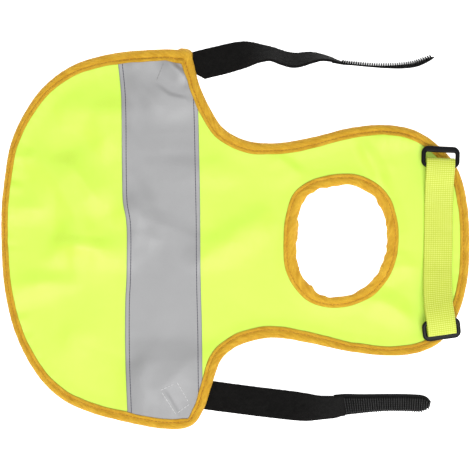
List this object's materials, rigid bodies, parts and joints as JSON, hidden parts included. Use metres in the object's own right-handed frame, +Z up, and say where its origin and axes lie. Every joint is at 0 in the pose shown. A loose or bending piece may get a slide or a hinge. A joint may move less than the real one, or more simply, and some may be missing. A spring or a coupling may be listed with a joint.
{
  "type": "chicken safety vest",
  "caption": "Laid-flat high-visibility vest for a hen: lime panel with a neck hole, reflective band, bound edges, chest webbing with rings, and hook-and-loop wing straps.",
  "frame": {"origin": "on the surface that the vest lies on, under the middle of the laid-out vest's box", "axes": "+X along the vest from the rounded back lobe to the neck end, +Y across it, +Z up out of the surface"},
  "size_m": [0.3059, 0.253, 0.0197],
  "materials": {
    "lime_cloth": "fluorescent lime plain-woven polyester with a soft sheen",
    "reflective_tape": "silver-grey retroreflective fabric tape, satin",
    "orange_binding": "orange woven polyester bias strip, lightly puckered",
    "lime_webbing": "neon yellow-green ribbed polyester webbing",
    "black_plastic": "black moulded plastic, semi-gloss",
    "loop_tape": "black looped pile on woven tape",
    "hook_tape": "black woven tape covered with fine stiff hooks"
  },
  "bodies": {
    "vest": {"body_panel": "lime_cloth", "reflective_tape": "reflective_tape", "edge_binding": "orange_binding", "neck_binding": "orange_binding", "chest_webbing": "lime_webbing", "strap_loop_upper": "loop_tape", "strap_hook_upper": "hook_tape", "strap_loop_lower": "loop_tape", "strap_hook_lower": "hook_tape"},
    "upper_ring": {"ring_upper": "black_plastic"},
    "lower_ring": {"ring_lower": "black_plastic"}
  },
  "joints": [
    {"name": "upper_ring_swing", "type": "hinge", "parent": "vest", "child": "upper_ring", "pos_m": [0.13334, 0.04516, 0.0072], "axis": [0.999, -0.0436, 0], "range_deg": [0, 160]},
    {"name": "lower_ring_swing", "type": "hinge", "parent": "vest", "child": "lower_ring", "pos_m": [0.13334, -0.05604, 0.0095], "axis": [-0.9914, -0.1305, 0], "range_deg": [0, 175]}
  ]
}
